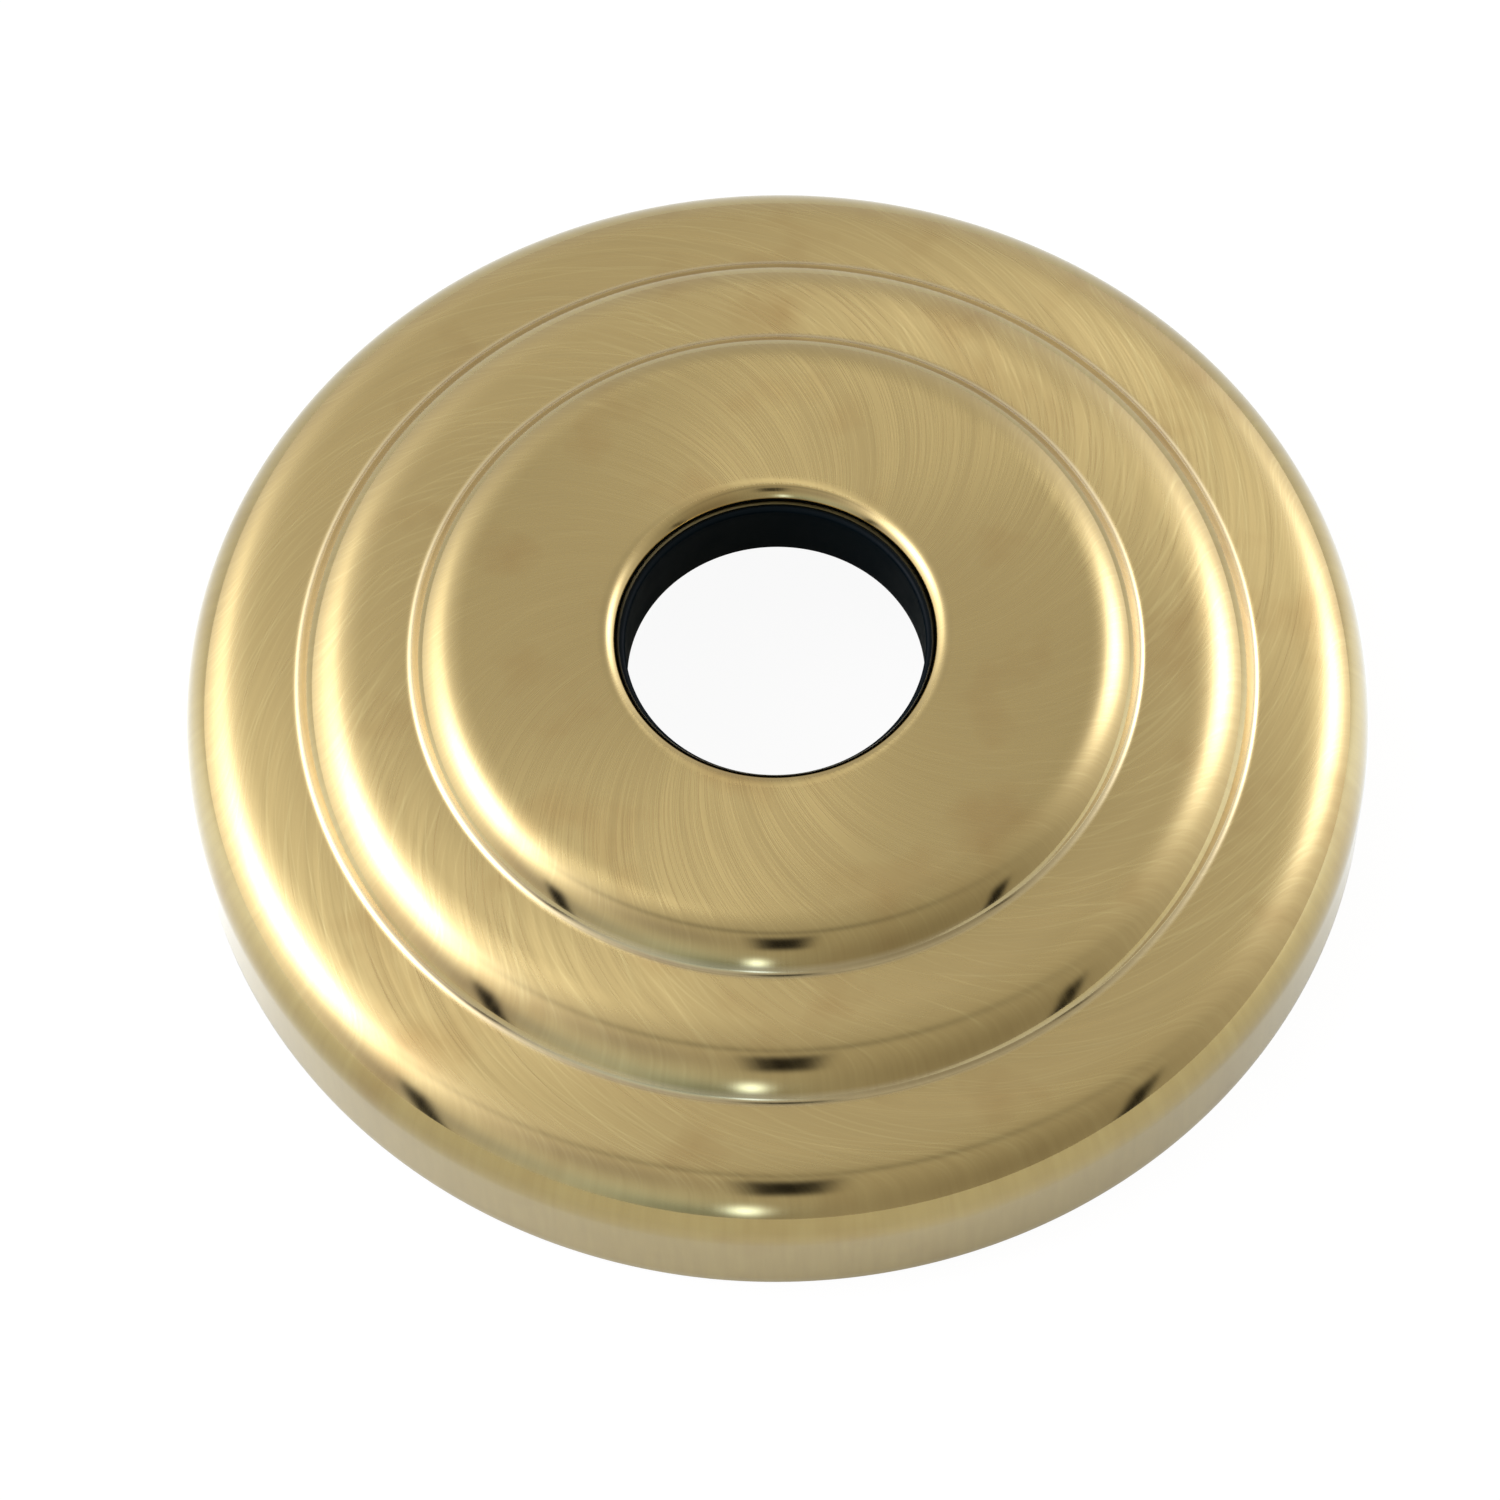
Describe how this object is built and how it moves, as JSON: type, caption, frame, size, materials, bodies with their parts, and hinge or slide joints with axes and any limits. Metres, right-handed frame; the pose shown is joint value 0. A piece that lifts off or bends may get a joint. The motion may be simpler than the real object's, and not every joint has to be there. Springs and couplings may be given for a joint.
{
  "type": "pipe escutcheon",
  "caption": "Round brass pipe escutcheon in stepped tiers with a central hole lined by a black rubber ring; covers the gap where a pipe leaves a wall.",
  "frame": {"origin": "centre of the rim that stands against the wall", "axes": "+Z along the pipe, away from the wall; X and Y lie in the rim's plane, and every direction in it is alike"},
  "size_m": [0.0888, 0.0888, 0.0177],
  "materials": {
    "brass": "brushed satin brass with fine lines running out from the hole",
    "rubber": "smooth black rubber with a soft sheen"
  },
  "bodies": {
    "root": {"brass_shell": "brass", "rubber_ring": "rubber"}
  },
  "joints": []
}
